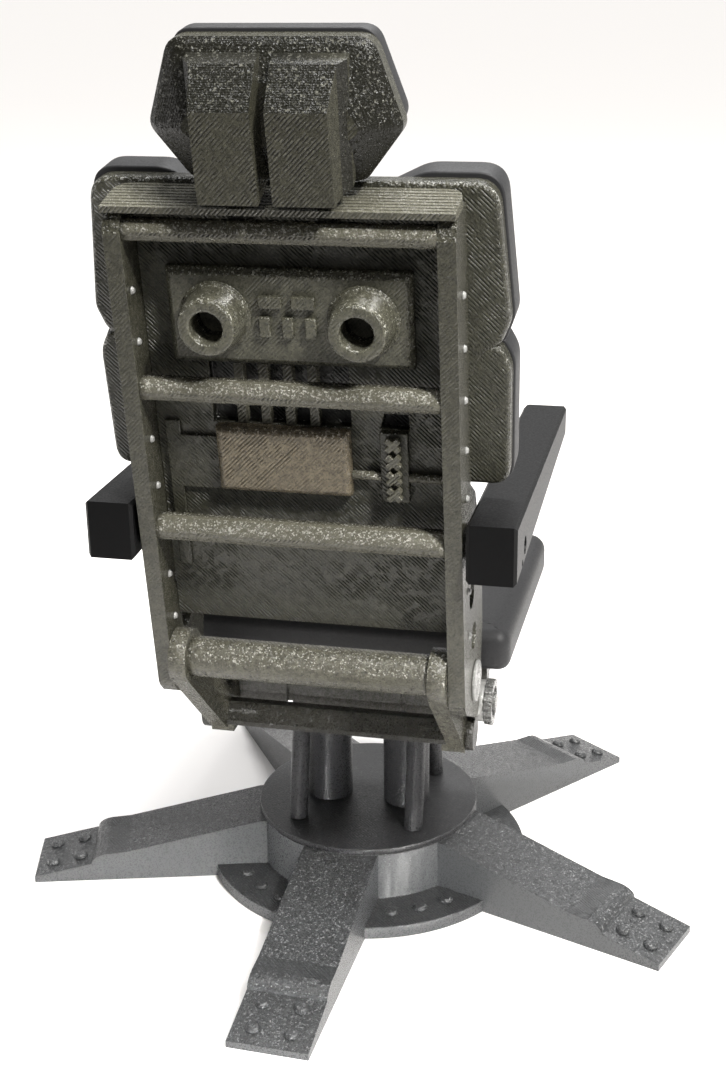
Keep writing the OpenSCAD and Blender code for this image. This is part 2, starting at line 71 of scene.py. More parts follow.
# ------------------------------------------------------------------ node trees
class Nodes:
    """Short calls for building a node tree. All but add and put give the new node's output."""

    def __init__(self, tree):
        self.tree = tree

    def add(self, kind, **settings):
        """The new node itself."""
        node = self.tree.nodes.new(kind)
        for key, value in settings.items():
            setattr(node, key, value)
        return node

    def put(self, socket, value):
        """Links an output to the socket, or sets it to a plain value."""
        if isinstance(value, bpy.types.NodeSocket):
            self.tree.links.new(value, socket)
        else:
            socket.default_value = value

    def maths(self, operation, a, b=0.0, clamp=False):
        node = self.add("ShaderNodeMath", operation=operation, use_clamp=clamp)
        self.put(node.inputs[0], a)
        self.put(node.inputs[1], b)
        return node.outputs[0]

    def product(self, first, *others, clamp=False):
        for other in others:
            first = self.maths("MULTIPLY", first, other, clamp=clamp)
        return first

    def rest_of(self, share):
        return self.maths("SUBTRACT", 1.0, share)

    def sharp_waves(self, turns, power):
        """A hump from 0 to 1 and back in each turn; the lower the power, the sharper the valleys between."""
        wave = self.maths("SINE", self.product(turns, math.pi))
        return self.maths("POWER", self.maths("ABSOLUTE", wave), power)

    def dot(self, a, b):
        node = self.add("ShaderNodeVectorMath", operation="DOT_PRODUCT")
        self.put(node.inputs[0], a)
        self.put(node.inputs[1], b)
        return node.outputs["Value"]

    def vector(self, operation, a, b=(0, 0, 0), scale=1.0):
        node = self.add("ShaderNodeVectorMath", operation=operation)
        self.put(node.inputs[0], a)
        self.put(node.inputs[1], b)
        if operation == "SCALE":
            self.put(node.inputs["Scale"], scale)
        return node.outputs["Vector"]

    def ramp(self, value, low, high, out_low=0.0, out_high=1.0):
        """A smooth step from out_low at low to out_high at high; low may be the larger of the two."""
        node = self.add("ShaderNodeMapRange", interpolation_type="SMOOTHSTEP")
        for key, number in zip(("Value", "From Min", "From Max", "To Min", "To Max"),
                               (value, low, high, out_low, out_high)):
            self.put(node.inputs[key], number)
        return node.outputs[0]

    def noise(self, where, scale, detail, rough=0.5):
        node = self.add("ShaderNodeTexNoise")
        self.put(node.inputs["Vector"], where)
        node.inputs["Scale"].default_value = scale
        node.inputs["Detail"].default_value = detail
        node.inputs["Roughness"].default_value = rough
        return node.outputs[0]

    def mix_colour(self, share, a, b):
        node = self.add("ShaderNodeMix", data_type="RGBA")
        factor, first, second, result = 0, 6, 7, 2     # the colour sockets among the node's many
        self.put(node.inputs[factor], share)
        self.put(node.inputs[first], a)
        self.put(node.inputs[second], b)
        return node.outputs[result]

    def bump(self, height, distance, strength, normal):
        node = self.add("ShaderNodeBump")
        self.put(node.inputs["Height"], height)
        node.inputs["Distance"].default_value = distance
        self.put(node.inputs["Strength"], strength)
        self.put(node.inputs["Normal"], normal)
        return node.outputs[0]


# ------------------------------------------------------------------ camera, light and floor
CAMERA_PLACE = Vector((-0.0583, 0.2527, 0.1573))
CAMERA_AIM = Vector((0.2117, -0.9123, -0.3504))
CAMERA_ROLL_DEG = -0.8
CAMERA_LENS = 54.58

WHITE_ROOM, DARK_ROOM = 0.76, 0.02                 # the room's strength beyond the seat and behind the camera
WHITE_UNTIL, DARK_FROM = -0.2, 0.5                 # between these shares of a direction's Y the room darkens
SUN_POWER = 2.2
SUN_SPREAD_DEG = 14
SUN_TINT = (1.0, 0.985, 0.96)
SUN_WAY = Vector((0.42, -0.36, -0.83))
SEAT_MIDDLE = (0, 0.02, 0.08)
WHITE, WARM, FAINTLY_WARM = (1, 1, 1), (1.0, 0.985, 0.95), (1.0, 0.99, 0.96)
WIDE = 180                                         # the spread of a lamp without shades
AREA_LIGHTS = (                                    # name, place, aim, size, power, tint, spread in degrees
    ("lamp", (-0.30, 0.30, 0.48), SEAT_MIDDLE, (0.05, 0.05), 4.2, WARM, WIDE),
    ("ceiling", (-0.05, 0.15, 0.60), SEAT_MIDDLE, (0.10, 0.04), 1.8, WHITE, WIDE),
    ("window_beyond", (-0.05, -0.38, 0.62), SEAT_MIDDLE, (0.42, 0.08), 2.4, WHITE, WIDE),
    ("base_fill", (-0.04, 0.60, 0.10), (0, 0.03, -0.012), (0.04, 0.03), 0.035, WHITE, 16),
    ("camera_side", (-0.10, 0.62, 0.42), SEAT_MIDDLE, (0.10, 0.06), 0.3, FAINTLY_WARM, WIDE),
)

FLOOR_SIZE = 12
FLOOR_DROP = 0.02                                  # keeps the floor clear of the base's underside
FLOOR_WHITE, FLOOR_DIM = (0.95, 0.93, 0.915, 1), (0.10, 0.10, 0.10, 1)
DIM_FROM, DIM_TO = 0.10, 0.18                      # how far behind the seat the floor turns dim, in metres


def make_camera():
    data = bpy.data.cameras.new("photo_camera")
    data.sensor_width = 36
    data.lens = CAMERA_LENS
    data.clip_start, data.clip_end = 0.01, 20
    camera = bpy.data.objects.new("photo_camera", data)
    bpy.context.scene.collection.objects.link(camera)
    camera.location = CAMERA_PLACE
    turn = CAMERA_AIM.to_track_quat("-Z", "Y").to_matrix() @ Matrix.Rotation(
        math.radians(CAMERA_ROLL_DEG), 3, "Z")
    camera.rotation_euler = turn.to_euler()
    bpy.context.scene.camera = camera


def area_light(name, place, aim, size, power, tint, spread_deg):
    data = bpy.data.lights.new(name, "AREA")
    data.shape = "RECTANGLE"
    data.size, data.size_y = size
    data.energy = power
    data.color = tint
    data.spread = math.radians(spread_deg)
    lamp = bpy.data.objects.new(name, data)
    bpy.context.scene.collection.objects.link(lamp)
    lamp.location = place
    lamp.rotation_euler = (Vector(aim) - Vector(place)).to_track_quat("-Z", "Y").to_euler()


def make_room():
    """A room that is white beyond the seat and dark behind the camera; the camera itself sees plain white."""
    world = bpy.data.worlds.new("studio")
    bpy.context.scene.world = world
    world.use_nodes = True
    n = Nodes(world.node_tree)
    sky = world.node_tree.nodes["Background"]
    sky.inputs["Color"].default_value = (1.0, 0.995, 0.99, 1)
    behind = n.dot(n.add("ShaderNodeTexCoord").outputs["Generated"], (0, 1, 0))
    light = n.ramp(behind, WHITE_UNTIL, DARK_FROM, WHITE_ROOM, DARK_ROOM)
    seen = n.add("ShaderNodeLightPath").outputs["Is Camera Ray"]
    n.put(sky.inputs["Strength"], n.maths("MAXIMUM", seen, light))


def make_lights():
    sun_data = bpy.data.lights.new("window", "SUN")
    sun_data.energy = SUN_POWER
    sun_data.angle = math.radians(SUN_SPREAD_DEG)
    sun_data.color = SUN_TINT
    sun = bpy.data.objects.new("window", sun_data)
    bpy.context.scene.collection.objects.link(sun)
    sun.rotation_euler = SUN_WAY.to_track_quat("-Z", "Y").to_euler()
    for light in AREA_LIGHTS:
        area_light(*light)


def make_floor():
    """A white floor; behind the seat it sends less light up, as if the room there were darker."""
    bpy.ops.mesh.primitive_plane_add(size=FLOOR_SIZE, location=(0, 0, -FLOOR_DROP * MM))
    floor = bpy.context.object
    floor.name = "floor"
    paint = bpy.data.materials.new("floor_paint")
    paint.use_nodes = True
    n = Nodes(paint.node_tree)
    shader = paint.node_tree.nodes["Principled BSDF"]
    along = n.add("ShaderNodeSeparateXYZ")
    n.put(along.inputs[0], n.add("ShaderNodeTexCoord").outputs["Object"])
    seen = n.add("ShaderNodeLightPath").outputs["Is Camera Ray"]
    dimmed = n.product(n.ramp(along.outputs["Y"], DIM_FROM, DIM_TO), n.rest_of(seen))
    n.put(shader.inputs["Base Color"], n.mix_colour(dimmed, FLOOR_WHITE, FLOOR_DIM))
    shader.inputs["Roughness"].default_value = 0.7
    floor.data.materials.append(paint)


# ------------------------------------------------------------------ printed plastic
LAYER, ROAD = 0.2, 0.46                            # layer height and extrusion width in mm
FACETS_PER_MM = 4.6

# how squarely a surface faces the layers' stack, from where each kind begins to where it is fully there
FLAT_FACING, SLOPE_FACING, WALL_FACING = (0.985, 0.997), (0.12, 0.32), (0.42, 0.16)

# heights of the bumps, before their strengths
LAYER_BUMP, GROOVE_BUMP, FINE_BUMP, COARSE_BUMP = 0.02 * MM, 0.16 * MM, 0.14 * MM, 0.25 * MM

# a near-black mixed in as painted shade where the ledge and crossbars shadow a cut-out
RECESS_SHADE_PAINT = (0.002, 0.002, 0.002, 1)


def tinted(colour, gain, lift=0.0):
    """The colour times gain, plus lift, with full alpha."""
    return [c * gain + lift for c in colour] + [1]


def printed_plastic(name, colour, stack, line, rough=0.34, grain_and_painted_specks=1.0, sparkle=1.0, lines=1.0, beads=1.0,
                    painted_wall_light=1.0, painted_slope_light=1.0, shine=0.5, recess=None):
    """A printed plastic: layers pile up along stack, and flat top faces show lines at right angles to line.

    Surfaces that slope across the layers are stair-stepped and sparkle. Faces square to the stack show the
    diagonal lines of the top layer. Walls along it show the layers' edges. The strengths of the grain, sparkle,
    lines and beads set the mottling, the glints, the diagonal lines and the layers' edges; part of this is
    painted: shade in the pits and in the valleys between lines, highlights on the lines' ridges and pale glints
    on a few upward facets. The wall and slope gains are painted light: they brighten or darken the colour of
    walls and slopes to stand in for how the light falls on them. The last argument, when given, is a reach
    along stack, in mm: a point short of it lies in a cut-out and gets painted shade, a near-black standing in
    for the shadow that the ledge and crossbars cast there.
    """
    material = bpy.data.materials.new(name)
    material.use_nodes = True
    n = Nodes(material.node_tree)
    shader = material.node_tree.nodes["Principled BSDF"]
    place = n.add("ShaderNodeTexCoord")
    at = n.vector("SCALE", place.outputs["Object"], scale=1 / MM)         # the point in millimetres

    facing = n.maths("ABSOLUTE", n.dot(place.outputs["Normal"], stack))
    flat = n.ramp(facing, *FLAT_FACING)
    slope = n.product(n.ramp(facing, *SLOPE_FACING), n.rest_of(flat))
    wall = n.ramp(facing, *WALL_FACING)

    # layers: each is a rounded bead, and some stand a little prouder than their neighbours
    wander = n.noise(at, 0.35, 1.0)
    height = n.maths("ADD", n.maths("DIVIDE", n.dot(at, stack), LAYER), n.product(wander, 0.5))
    bead = n.sharp_waves(height, 0.6)
    band = n.add("ShaderNodeTexWhiteNoise", noise_dimensions="1D")
    n.put(band.inputs["W"], n.maths("FLOOR", height))
    layers = n.maths("ADD", bead, n.product(band.outputs["Value"], 0.9))

    # top-face lines, stronger in some patches than in others and broken along their length
    across = n.maths("ADD", n.maths("DIVIDE", n.dot(at, line), ROAD), n.product(wander, 0.35))
    groove = n.sharp_waves(across, 0.7)
    patch = n.ramp(n.noise(at, 0.13, 2.0), 0.36, 0.60, 0.35, 1.0)
    nicks = n.ramp(n.noise(at, 0.9, 2.0), 0.34, 0.60, 0.1, 1.2)
    groove_share = n.product(patch, nicks, n.product(flat, lines))

    # grain: pits and specks everywhere, coarse glinting facets on stair-stepped slopes
    fine = n.noise(at, 3.4, 2.0, 0.7)
    coarse = n.noise(at, 1.9, 3.0, 0.75)
    facets = n.add("ShaderNodeTexVoronoi", feature="F1")
    n.put(facets.inputs["Vector"], at)
    facets.inputs["Scale"].default_value = FACETS_PER_MM
    tilt = n.vector("SUBTRACT", facets.outputs["Color"], (0.5, 0.5, 0.5))
    unevenness = n.rest_of(n.product(wall, 0.75))                          # walls are smooth along a layer
    tilted = n.maths("ADD", n.product(slope, min(sparkle, 1.0)), 0.35 * grain_and_painted_specks)
    tilted = n.product(tilted, unevenness, n.ramp(coarse, 0.42, 0.62))

    # each layer's edge is round, so its normal swings along the stack from one side of the bead to the other
    swing = n.product(n.maths("SINE", n.product(height, 2 * math.pi)),
                      n.maths("ADD", n.product(wall, 0.85 * beads), n.product(slope, 0.2 * beads)))
    lean = n.vector("ADD", n.vector("SCALE", tilt, scale=tilted), n.vector("SCALE", stack, scale=swing))
    turned = n.add("ShaderNodeVectorTransform", vector_type="VECTOR",
                   convert_from="OBJECT", convert_to="WORLD")
    n.put(turned.inputs[0], lean)
    world_normal = n.add("ShaderNodeNewGeometry").outputs["Normal"]
    normal = n.vector("NORMALIZE", n.vector("ADD", world_normal, turned.outputs[0]))
    normal = n.bump(layers, LAYER_BUMP, n.product(wall, 0.5 * beads), normal)
    normal = n.bump(groove, GROOVE_BUMP, groove_share, normal)
    normal = n.bump(fine, FINE_BUMP, n.product(unevenness, 0.6 * grain_and_painted_specks), normal)
    normal = n.bump(coarse, COARSE_BUMP, n.product(slope, 0.5 * sparkle), normal)
    n.put(shader.inputs["Normal"], normal)

    # colour: mottled, with painted shade in the pits and in the valleys between the lines, and painted highlights
    # on the lines' ridges
    mottled, contrast = n.ramp(n.noise(at, 1.1, 4.0, 0.75), 0.35, 0.65), 0.28 * grain_and_painted_specks
    shade = n.mix_colour(mottled, tinted(colour, 1 - contrast), tinted(colour, 1 + contrast))
    painted_pit_shade = n.product(n.ramp(fine, 0.47, 0.36), 0.75 * grain_and_painted_specks)
    painted_valley_shade = n.product(n.ramp(groove, 0.75, 0.2), groove_share, 0.85)
    # the pits and valleys get a dark copy of the colour: painted shade
    shade = n.mix_colour(n.maths("MAXIMUM", painted_pit_shade, painted_valley_shade, clamp=True), shade, tinted(colour, 0.25))
    # painted highlight: a paler copy of the colour along the ridges of the top-face lines
    painted_ridge_highlight = n.product(n.ramp(groove, 0.75, 0.95), groove_share, n.ramp(coarse, 0.48, 0.60))
    shade = n.mix_colour(n.product(painted_ridge_highlight, 0.7 * grain_and_painted_specks), shade, tinted(colour, 2.0, 0.03))
    # painted light: walls and slopes get a brighter or darker copy of the colour, standing in for how light falls
    # on them
    for where, gain in ((wall, painted_wall_light), (slope, painted_slope_light)):
        if gain != 1.0:
            shade = n.mix_colour(where, shade, tinted(colour, gain))

    # painted highlights: a pale colour on a few of the facets that face upward, standing in for glints
    rarity = 0.86 - 0.09 * sparkle                 # the facets' random red lies above this on the chosen few
    chosen = n.ramp(n.dot(facets.outputs["Color"], (1, 0, 0)), rarity, rarity + 0.08)
    strength = n.maths("ADD", n.product(slope, sparkle), 0.22 * grain_and_painted_specks)
    upward = n.ramp(n.dot(place.outputs["Normal"], (0, 0, 1)), -0.30, 0.30)
    painted_glint = n.product(chosen, strength, upward, n.ramp(coarse, 0.44, 0.56), clamp=True)
    shade = n.mix_colour(painted_glint, shade, tinted(colour, 2.6, 0.22 * min(sparkle, 1.0)))
    # painted shade: the cut-out deeper than the given reach turns near-black, standing in for the shadow cast
    # there
    if recess is not None:
        in_painted_shade = n.ramp(n.dot(at, stack), recess - 0.6, recess - 0.2, 0.85, 0.0)
        shade = n.mix_colour(in_painted_shade, shade, RECESS_SHADE_PAINT)
    n.put(shader.inputs["Base Color"], shade)

    gloss = n.product(n.maths("ADD", n.maths("MAXIMUM", slope, wall), painted_ridge_highlight), 0.13 * sparkle)
    gloss = n.maths("ADD", gloss, n.product(painted_glint, 0.08))
    roughness = n.maths("SUBTRACT", n.ramp(fine, 0.3, 0.7, rough + 0.06, rough - 0.06), gloss, clamp=True)
    n.put(shader.inputs["Roughness"], roughness)
    shader.inputs["IOR"].default_value = 1.5
    shader.inputs["Specular IOR Level"].default_value = shine
    return material


# the third olive is a paler copy of the first: painted light for the bars, ledge and roller, which catch more
# light
OLIVE, DEEP_OLIVE, PAINTED_LIGHT_OLIVE = (0.046, 0.0445, 0.032), (0.037, 0.036, 0.025), (0.072, 0.069, 0.052)


def make_materials():
    """One material for each slot, and variants for the nodes that PRINTED_OTHERWISE names."""
    up = (0, 0, 1)
    rear = tuple(BACK_REAR)
    falling = tuple((Vector((1, 0, 0)) - BACK_UP).normalized())   # lines that fall towards the sitter's right
    rising = tuple((Vector((1, 0, 0)) + BACK_UP).normalized())
    floorwise = (math.sqrt(0.5), math.sqrt(0.5), 0)
    smooth = {"grain_and_painted_specks": 0.2, "sparkle": 0.05, "lines": 0.0, "beads": 0.0}
    plastics = (
        ("base_grey", (0.030, 0.031, 0.032), up, floorwise,
         {"rough": 0.38, "sparkle": 0.65, "painted_wall_light": 2.1}),
        ("frame_grey", OLIVE, rear, rising, {"lines": 0.3}),
        ("panel_grey", DEEP_OLIVE, rear, falling, {"lines": 0.75, "sparkle": 1.4}),
        ("screen_brown", (0.120, 0.100, 0.067), rear, rising, {"rough": 0.42, "lines": 0.8}),
        ("seat_grey", (0.080, 0.077, 0.068), up, floorwise, {"rough": 0.4}),
        ("pad_grey", (0.018, 0.018, 0.019), rear, rising, {"rough": 0.55, "shine": 0.3, **smooth}),
        ("arm_black", (0.003, 0.003, 0.0032), up, floorwise, {"rough": 0.46, "shine": 0.15, **smooth}),
        ("trim_grey", (0.11, 0.11, 0.105), rear, rising, {"rough": 0.28}),
        ("panel_grey_rising", OLIVE, rear, rising, {"sparkle": 0.45, "painted_slope_light": 0.22, "shine": 0.3}),
        # these two are paler copies of the olive: painted light for the brackets, roller, crossbars, ledge and
        # small bars
        ("frame_grey_up_painted_light", PAINTED_LIGHT_OLIVE, up, floorwise, {}),
        ("frame_grey_painted_light", PAINTED_LIGHT_OLIVE, rear, rising, {"sparkle": 2.2, "painted_wall_light": 1.5, "painted_slope_light": 1.2}),
        # a paler copy of the panel's olive: painted light for the box, sockets and blocks, which catch more light
        ("panel_grey_painted_light", (0.076, 0.074, 0.054), rear, rising, {"lines": 0.4, "sparkle": 1.2}),
        # a copy of panel_grey with painted shade in the panel's sunken parts, where the ledge and crossbars cast
        # shadow
        ("panel_grey_painted_shade", DEEP_OLIVE, rear, falling, {"lines": 1.2, "recess": PANEL_FACE}),
        ("frame_grey_dark", (0.016, 0.015, 0.011), up, floorwise, {"sparkle": 0.3, "lines": 0.3}),
        # a darker copy of base_grey: painted shade for the turntable, columns and struts under the seat
        ("base_grey_painted_shade", (0.019, 0.019, 0.020), up, floorwise,
         {"sparkle": 0.3, "lines": 0.2, "painted_wall_light": 1.3}),
        # a paler copy of trim_grey: painted reflection of the bright room on the rivets, hip caps and link plates
        ("trim_painted_reflection", (0.26, 0.26, 0.25), rear, rising,
         {"rough": 0.26, "grain_and_painted_specks": 0.4, "sparkle": 0.3, "lines": 0.2}),
    )
    return {name: printed_plastic(name, colour, stack, line, **settings)
            for name, colour, stack, line, settings in plastics}


PANEL_FACE = BACK_FOOT.dot(BACK_REAR) / MM - 5.6   # where the equipment panel's face lies along BACK_REAR

# nodes that look different from the rest of their slot, by the variant that they wear; most variants carry painted
# light or shade in their colour
PRINTED_OTHERWISE = {node: variant for variant, nodes in {
    "panel_grey_rising": ("headrest_shell", "headrest_blocks"),
    "panel_grey_painted_light": ("equipment_box", "socket_left", "socket_right", "box_blocks"),
    "panel_grey_painted_shade": ("back_panel",),
    "frame_grey_painted_light": ("crossbar_top", "crossbar_middle", "crossbar_bottom", "top_ledge",
                        "vent_bars", "strip_dials", "feed_pipe"),
    "frame_grey_up_painted_light": ("bracket_left", "bracket_right", "pivot_tube"),
    "frame_grey_dark": ("lower_crossbar", "crossbar_bolts"),
    "base_grey_painted_shade": ("turntable", "column_left", "column_right", "struts"),
    "trim_painted_reflection": ("rivets", "hip_caps", "link_plates"),
}.items() for node in nodes}
SLOT_OF = {s["node"]: s["material_slot"] for s in frame["record"]["subparts"]}
BODY_OF = {node: body for body, nodes in frame["record"]["behaviour"]["bodies"].items() for node in nodes}

USUAL_EDGE = 0.16                                  # how far a CAD node's sharp edges are rounded, in mm
EDGE_OF = {"armrest_left": 0.6, "armrest_right": 0.6, "rivets": 0.05, "base_bolts": 0.1, "strip_dials": 0.15,
           "box_blocks": 0.25, "headrest_blocks": 0.3, "headrest_shell": 0.5, "equipment_box": 0.3,
           "screen_box": 0.35, "top_ledge": 0.04, "feed_pipe": 0.05, "rail_left": 0.3, "rail_right": 0.3}
FLAT_WITHIN_DEG, SHARP_FROM_DEG = 0.4, 28          # which faces are merged, and which edges are rounded


def dress_cad_nodes():
    """Gives every CAD node its material and slightly rounded edges."""
    for name, slot_name in SLOT_OF.items():
        node = frame["nodes"][name]
        node.data.materials.clear()
        node.data.materials.append(MATERIALS[PRINTED_OTHERWISE.get(name, slot_name)])
        soften(node, EDGE_OF.get(name, USUAL_EDGE))


def soften(piece, width):
    """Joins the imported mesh's split corners, merges its flat faces and rounds its sharp edges."""
    weld = piece.modifiers.new("weld", "WELD")
    weld.merge_threshold = 0.001 * MM
    merge = piece.modifiers.new("flat_faces", "DECIMATE")
    merge.decimate_type = "DISSOLVE"
    merge.angle_limit = math.radians(FLAT_WITHIN_DEG)
    edge = piece.modifiers.new("edges", "BEVEL")
    edge.width = width * MM
    edge.segments = 2
    edge.limit_method = "ANGLE"
    edge.angle_limit = math.radians(SHARP_FROM_DEG)
    edge.harden_normals = True
    edge.use_clamp_overlap = True


# ------------------------------------------------------------------ pieces modelled here
def new_piece(name, verts, faces, node):
    """Makes a piece from points in the row frame, which stands for a CAD node and rides on its body."""
    mesh = bpy.data.meshes.new(name)
    mesh.from_pydata([tuple(v) for v in verts], [], faces)
    shape = bmesh.new()
    shape.from_mesh(mesh)
    bmesh.ops.recalc_face_normals(shape, faces=shape.faces)
    shape.to_mesh(mesh)
    shape.free()
    mesh.polygons.foreach_set("use_smooth", [True] * len(mesh.polygons))
    piece = bpy.data.objects.new(name, mesh)
    bpy.context.scene.collection.objects.link(piece)
    mesh.materials.append(MATERIALS[PRINTED_OTHERWISE.get(node, SLOT_OF[node])])
    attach(piece, BODY_OF[node])
    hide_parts(node)


def loft(rings, closed_ends=True):
    """Points and faces of a skin over rings of equal length, with a flat face over each end."""
    count = len(rings[0])
    verts = [p for ring in rings for p in ring]
    faces = []
    for r in range(len(rings) - 1):
        low, high = r * count, (r + 1) * count
        for i in range(count):
            j = (i + 1) % count
            faces.append((low + i, low + j, high + j, high + i))
    if closed_ends:
        faces.append(tuple(range(count)))
        faces.append(tuple(range(len(verts) - count, len(verts))))
    return verts, faces


# ---- cushions and shells
CORNER_STEPS = 8


def curved(points):
    """A closed outline: each point is (x, y, reach), and its corner curves over that reach of both edges."""
    outline = []
    for i, (x, y, reach) in enumerate(points):
        b = Vector((x, y))
        to_last = (Vector(points[i - 1][:2]) - b).normalized() * reach
        to_next = (Vector(points[(i + 1) % len(points)][:2]) - b).normalized() * reach
        if reach == 0:
            outline.append(b)
            continue
        for k in range(CORNER_STEPS + 1):
            t = k / CORNER_STEPS
            outline.append(b + (1 - t) ** 2 * to_last + t ** 2 * to_next)
    return outline


def mirrored(half):
    """A whole outline from its right half, which starts and ends on the centre line."""
    return half + [(-x, y, reach) for x, y, reach in reversed(half) if x > 0]


def resampled(outline, count):
    """count points at equal steps round a closed outline."""
    points = np.array([tuple(p) for p in outline])
    closed = np.vstack([points, points[:1]])
    reach = np.concatenate([[0], np.cumsum(np.linalg.norm(np.diff(closed, axis=0), axis=1))])
    at = np.linspace(0, reach[-1], count, endpoint=False)
    return np.stack([np.interp(at, reach, closed[:, k]) for k in (0, 1)], axis=1)


def distance_to(points, outline):
    """Each point's distance from a closed outline."""
    best = np.full(len(points), np.inf)
    for a, b in zip(outline, np.roll(outline, -1, axis=0)):
        step = b - a
        t = np.clip(((points - a) @ step) / (step @ step), 0, 1)
        best = np.minimum(best, np.linalg.norm(points - (a + t[:, None] * step), axis=1))
    return best


RIM_POINTS = 320
LOW_EDGE_STEPS, UPPER_EDGE_STEPS = 5, 9
CROWN_REACH = 7.0                                  # how far in from the edge a crown has mostly risen
WELT_INSET, WELT_WIDTH = 0.7, 0.35
CHANNEL_CLEAR, CHANNEL_FADE = 0.9, 1.5             # channels stop short of the edge, and fade out over this


def moulded(name, node, outline, place, thickness, edge, low_edge, crown=0.0, channels=(), welt=0.0,
            inner=40):
    """A plate or cushion with rounded edges: crowned face, moulded channels and a welt bead where asked for.

    outline is in the piece's own plane and place(x, y, height) gives a point of the row frame. The back is at
    height 0, and channels are ((x0, y0), (x1, y1), width, depth). inner is how many rings fill the face.
    """
    rim = resampled(curved(outline), RIM_POINTS)
    ahead = np.roll(rim, -1, axis=0) - np.roll(rim, 1, axis=0)
    inward = np.stack([-ahead[:, 1], ahead[:, 0]], axis=1)
    inward /= np.linalg.norm(inward, axis=1)[:, None]
    area = np.sum(rim[:, 0] * np.roll(rim[:, 1], -1) - np.roll(rim[:, 0], -1) * rim[:, 1])
    inward *= math.copysign(1, area)
    centre = rim.mean(axis=0)

    rings = []
    for turn in np.linspace(0, math.pi / 2, LOW_EDGE_STEPS):
        rings.append((rim + inward * low_edge * (1 - math.sin(turn)), low_edge * (1 - math.cos(turn))))
    for share in (0.5, 1.0):                       # side wall
        rings.append((rim, low_edge + share * (thickness - edge - low_edge)))
    for turn in np.linspace(0, math.pi / 2, UPPER_EDGE_STEPS)[1:]:
        rings.append((rim + inward * edge * (1 - math.cos(turn)), thickness - edge * (1 - math.sin(turn))))
    shoulder = rim + inward * edge
    for step in range(1, inner):
        rings.append((centre + (shoulder - centre) * (1 - step / inner), thickness))

    flat = np.vstack([ring for ring, _ in rings])
    height = np.concatenate([np.full(RIM_POINTS, h) for _, h in rings])
    face = np.arange(len(flat)) >= (len(rings) - inner) * RIM_POINTS
    inside = distance_to(flat[face], rim)
    rise = crown * (1 - np.exp(-((inside - edge) / CROWN_REACH) ** 2))
    rise += welt * np.exp(-((inside - edge - WELT_INSET) / WELT_WIDTH) ** 2)
    for (x0, y0), (x1, y1), width, depth in channels:
        a, b = np.array((x0, y0), float), np.array((x1, y1), float)
        t = np.clip(((flat[face] - a) @ (b - a)) / ((b - a) @ (b - a)), 0, 1)
        off = np.linalg.norm(flat[face] - (a + t[:, None] * (b - a)), axis=1)
        share = np.clip((inside - edge - CHANNEL_CLEAR) / CHANNEL_FADE, 0, 1)
        rise -= depth * share * np.exp(-(off / width) ** 2)
    height[face] += rise

    points = [place(x, y, h) for (x, y), h in zip(flat.tolist(), height.tolist())]
    verts, faces = loft([points[i:i + RIM_POINTS] for i in range(0, len(points), RIM_POINTS)])
    new_piece(name, verts, faces, node)


BACK_HALF_W = 29.5
SHELL_REAR = -8                                    # n of the shells' rear face
SHELL_BACK = -10.4                                 # n where the shells end and the cushions begin
SHELL_EDGE, SHELL_LOW_EDGE = 0.7, 0.1
CUSHION = {"thickness": 6.2, "edge": 1.7, "low_edge": 0.3, "crown": 0.6, "welt": 0.25}
CUSHION_SPREAD = 0.3                               # how far the back cushions reach beyond the shells
HEADREST_REAR = -6.4                               # n where the headrest's shell ends and its pad begins
CHANNEL_X = 11.5                                   # the upright channels' distance from the centre line


def upper_cushion_outline():
    """The upper back cushion: narrower towards its shoulders, with a dip in the middle of its top edge."""
    w, top, low, dip = BACK_HALF_W + CUSHION_SPREAD, 78.3, 55.0, 3.2
    return mirrored([(0, top - dip, 0), (11.2, top - dip, 1.6), (17.8, top, 1.6), (w - 1.6, top, 3.4),
                     (w, 58.8, 0.8), (w - 1.4, low, 0.8), (0, low, 0)])


def lower_outline(spread):
    """The lower back section, reaching further out by spread."""
    w, top, shoulder, low = BACK_HALF_W + spread, 55.2 + spread, 52.4 + spread, 34.3 - spread
    return mirrored([(0, top, 0), (w - 1.5, top, 0.8), (w, shoulder, 1.4), (w - 0.3, low, 2.6), (0, low, 0)])


def upper_shell_outline():
    """The upper section, with a tongue that reaches down behind the joint between the shells."""
    w = BACK_HALF_W
    return mirrored([(0, 77.5, 0), (w - 1.6, 77.6, 3.4), (w, 58.8, 0.8), (w - 1.3, 55.6, 0.8),
                     (w - 4, 53.4, 1.4), (w - 5, 50, 1), (0, 50, 0)])


def make_shells():
    """The two plates behind the back cushions."""
    def on_shell(x, a, height):
        return back(x, SHELL_BACK + height, a)

    for name, node, outline, thickness in (
            ("upper_shell_moulded", "upper_shell", upper_shell_outline(), 2.42),
            ("lower_shell_moulded", "lower_shell", lower_outline(0), 2.4)):
        moulded(name, node, outline, on_shell, thickness, SHELL_EDGE, SHELL_LOW_EDGE, inner=4)


